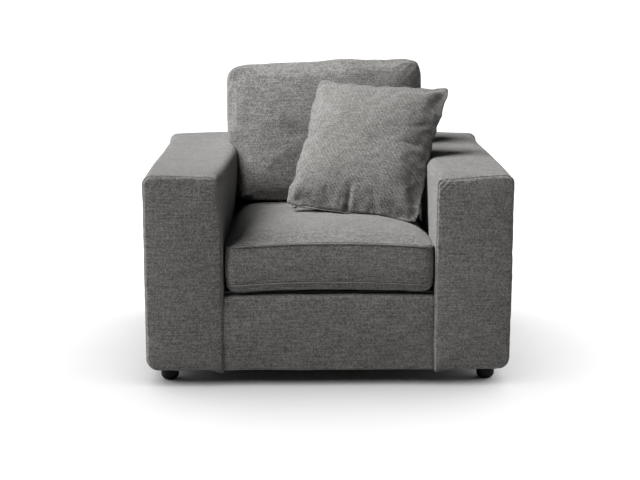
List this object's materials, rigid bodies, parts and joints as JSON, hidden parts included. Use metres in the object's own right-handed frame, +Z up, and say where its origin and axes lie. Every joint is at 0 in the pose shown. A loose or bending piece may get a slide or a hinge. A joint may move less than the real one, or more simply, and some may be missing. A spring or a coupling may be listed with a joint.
{
  "type": "upholstered armchair",
  "caption": "Low upholstered armchair with wide square arms, a loose seat cushion, a loose back cushion and a tilted throw pillow.",
  "frame": {"origin": "on the floor, under the middle of the chair's outline", "axes": "+X across the chair, to the right of someone who faces its front; the front faces -Y; +Z up"},
  "size_m": [1.08, 0.98, 0.897],
  "materials": {
    "upholstery_fabric": "woven, matt",
    "cushion_fabric": "woven, matt",
    "pillow_fabric": "twill weave, matt",
    "foam": "open-cell foam",
    "felt": "needled felt",
    "deck_fabric": "plain woven, matt",
    "dust_cloth": "non-woven",
    "webbing": "elastic, woven",
    "plywood": "sanded",
    "timber": "sawn and planed",
    "hardboard": "smooth",
    "foot_plastic": "matt",
    "spring_steel": "drawn wire",
    "zinc_steel": "zinc plated",
    "zip_tape": "moulded coil on tape",
    "zip_metal": "dark lacquer"
  },
  "bodies": {
    "chair": {"apron_cover": "upholstery_fabric", "apron_padding": "foam", "arm_bolts": "zinc_steel", "arm_left_cover": "upholstery_fabric", "arm_left_front_board": "plywood", "arm_left_padding": "foam", "arm_left_rails": "timber", "arm_left_rear_board": "plywood", "arm_left_ribs": "plywood", "arm_left_side_panels": "hardboard", "arm_left_top_board": "plywood", "arm_right_cover": "upholstery_fabric", "arm_right_front_board": "plywood", "arm_right_padding": "foam", "arm_right_rails": "timber", "arm_right_rear_board": "plywood", "arm_right_ribs": "plywood", "arm_right_side_panels": "hardboard", "arm_right_top_board": "plywood", "back_left_post": "plywood", "back_lower_rail": "timber", "back_outer_panel": "hardboard", "back_padding": "foam", "back_right_post": "plywood", "back_top_board": "plywood", "back_webbing": "webbing", "corner_blocks": "timber", "cross_tie_wires": "spring_steel", "deck_cloth": "deck_fabric", "deck_pad": "felt", "dust_cover": "dust_cloth", "foot_fixings": "zinc_steel", "foot_front_left": "foot_plastic", "foot_front_right": "foot_plastic", "foot_rear_left": "foot_plastic", "foot_rear_right": "foot_plastic", "inside_back_cover": "upholstery_fabric", "outside_back_cover": "upholstery_fabric", "seat_front_rail": "timber", "seat_left_rail": "timber", "seat_rear_rail": "timber", "seat_right_rail": "timber", "seat_spring_1": "spring_steel", "seat_spring_2": "spring_steel", "seat_spring_3": "spring_steel", "seat_spring_4": "spring_steel", "seat_spring_5": "spring_steel", "spring_clips": "zinc_steel"},
    "seat_cushion": {"seat_cushion_cover": "cushion_fabric", "seat_cushion_filling": "foam", "seat_cushion_zip": "zip_tape"},
    "back_cushion": {"back_cushion_cover": "cushion_fabric", "back_cushion_filling": "foam", "back_cushion_zip": "zip_tape"},
    "throw_pillow": {"throw_pillow_cover": "pillow_fabric", "throw_pillow_filling": "foam", "throw_pillow_zip": "zip_tape"},
    "seat_zip_slider": {"seat_zip_slider": "zip_metal"},
    "back_zip_slider": {"back_zip_slider": "zip_metal"},
    "pillow_zip_slider": {"pillow_zip_slider": "zip_metal"}
  },
  "joints": [
    {"name": "seat_cushion_slide", "type": "slide", "parent": "chair", "child": "seat_cushion", "axis": [0, -0.9994, 0.0349], "range_m": [0, 0.78]},
    {"name": "back_cushion_lift", "type": "slide", "parent": "chair", "child": "back_cushion", "axis": [0, 0.2079, 0.9781], "range_m": [0, 0.46]},
    {"name": "throw_pillow_lift", "type": "slide", "parent": "seat_cushion", "child": "throw_pillow", "axis": [0, 0, 1], "range_m": [0, 0.46]},
    {"name": "seat_zip_run", "type": "slide", "parent": "seat_cushion", "child": "seat_zip_slider", "axis": [-1, 0, 0], "range_m": [0, 0.508]},
    {"name": "back_zip_run", "type": "slide", "parent": "back_cushion", "child": "back_zip_slider", "axis": [1, 0, 0], "range_m": [0, 0.508]},
    {"name": "pillow_zip_run", "type": "slide", "parent": "throw_pillow", "child": "pillow_zip_slider", "axis": [0.8866, -0.4597, -0.0512], "range_m": [0, 0.348]}
  ]
}
